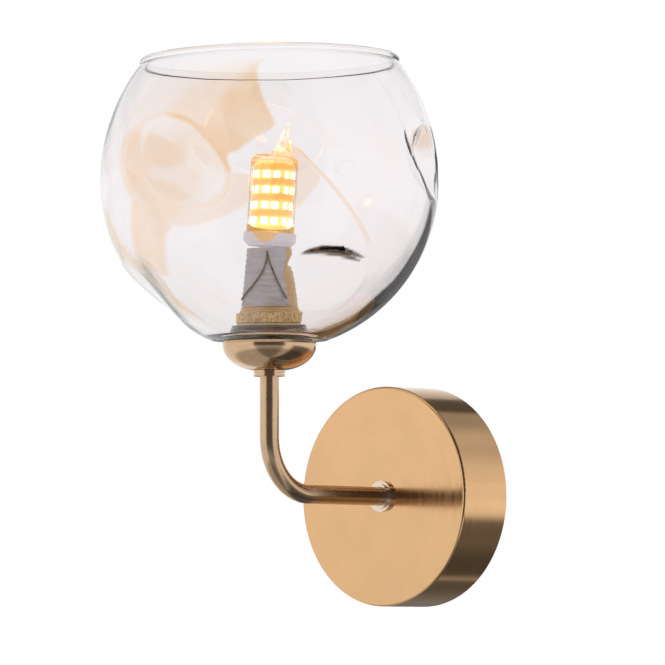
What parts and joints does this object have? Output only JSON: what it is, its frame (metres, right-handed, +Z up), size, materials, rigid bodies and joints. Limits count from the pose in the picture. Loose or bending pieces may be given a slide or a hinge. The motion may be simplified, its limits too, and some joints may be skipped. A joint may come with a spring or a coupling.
{
  "type": "globe wall sconce",
  "caption": "Wall sconce with a round canopy, an upswept tube arm and an upright dented glass globe, open at the top, round a pin-base lamp with a flame tip.",
  "frame": {"origin": "centre of the wall bracket's screw pattern on the wall plane, which is also the canopy's axis", "axes": "+Z up along the upright stem, +Y into the wall, +X to the right facing the wall"},
  "size_m": [0.1506, 0.177, 0.2458],
  "materials": {
    "brushed_brass": "satin brushed, lacquered",
    "holder_metal": "plated, half bright",
    "ring_brass": "knurled, half bright",
    "nut_brass": "machined",
    "clip_bronze": "darkened spring wire",
    "zinc_steel": "zinc plated",
    "tinned_tag": "tinned",
    "black_rubber": "matte",
    "white_nylon": "moulded",
    "lead_brown": "silicone sheath",
    "lead_blue": "silicone sheath",
    "lead_green": "green and yellow sheath",
    "white_ceramic": "unglazed",
    "clear_silicone": "translucent",
    "globe_glass": "mouth-blown, clear with amber clouds",
    "lamp_base_plastic": "moulded",
    "driver_resin": "potted",
    "lamp_board_amber": "lit circuit film",
    "lamp_chip_light": "lit phosphor",
    "lamp_clear": "clear moulded"
  },
  "bodies": {
    "wall_mount": {"wall_bracket": "zinc_steel", "cable_grommet": "black_rubber", "earth_screw": "zinc_steel", "earth_washer": "zinc_steel"},
    "fixture": {"canopy": "brushed_brass", "canopy_weld_nuts": "zinc_steel", "canopy_grub_screws": "zinc_steel", "canopy_ferrule": "brushed_brass", "arm_tube": "brushed_brass", "backing_plate": "zinc_steel", "toothed_washer": "zinc_steel", "earth_tag": "tinned_tag", "arm_rear_nut": "nut_brass", "terminal_block": "white_nylon", "terminal_clamps": "nut_brass", "terminal_screws": "zinc_steel", "block_fixing_screw": "zinc_steel", "live_lead": "lead_brown", "neutral_lead": "lead_blue", "earth_lead": "lead_green", "arm_collar": "brushed_brass", "shade_cup": "brushed_brass", "cup_nut": "nut_brass", "lampholder_sleeve": "holder_metal", "lampholder_nut": "nut_brass", "lampholder_bridge": "zinc_steel", "lampholder_core": "white_ceramic", "contact_jaws": "tinned_tag", "core_screws": "zinc_steel", "core_clip": "clip_bronze", "lower_gasket": "clear_silicone"},
    "shade": {"glass_globe": "globe_glass", "upper_gasket": "clear_silicone"},
    "washer": {"ring_washer": "ring_brass"},
    "ring": {"shade_ring": "ring_brass"},
    "lamp": {"lamp_pins": "tinned_tag", "lamp_base": "lamp_base_plastic", "lamp_driver": "driver_resin", "lamp_board": "lamp_board_amber", "lamp_chips": "lamp_chip_light", "lamp_cover": "lamp_clear"}
  },
  "joints": [
    {"name": "canopy_pull_off", "type": "slide", "parent": "wall_mount", "child": "fixture", "axis": [0, -1, 0], "range_m": [0, 0.04]},
    {"name": "shade_lift_off", "type": "slide", "parent": "fixture", "child": "shade", "axis": [0, 0, 1], "range_m": [0, 0.14]},
    {"name": "ring_rise", "type": "slide", "parent": "shade", "child": "washer", "axis": [0, 0, 1], "range_m": [0, 0.008]},
    {"name": "ring_turn", "type": "hinge", "parent": "washer", "child": "ring", "pos_m": [0, -0.103, 0.0778], "axis": [0, 0, 1], "range_deg": [0, 1440]},
    {"name": "lamp_pull", "type": "slide", "parent": "fixture", "child": "lamp", "axis": [0, 0, 1], "range_m": [0, 0.12]}
  ],
  "couplings": [
    {"joint": "ring_rise", "follows": "ring_turn", "m_per_rad": 0.00031831}
  ]
}
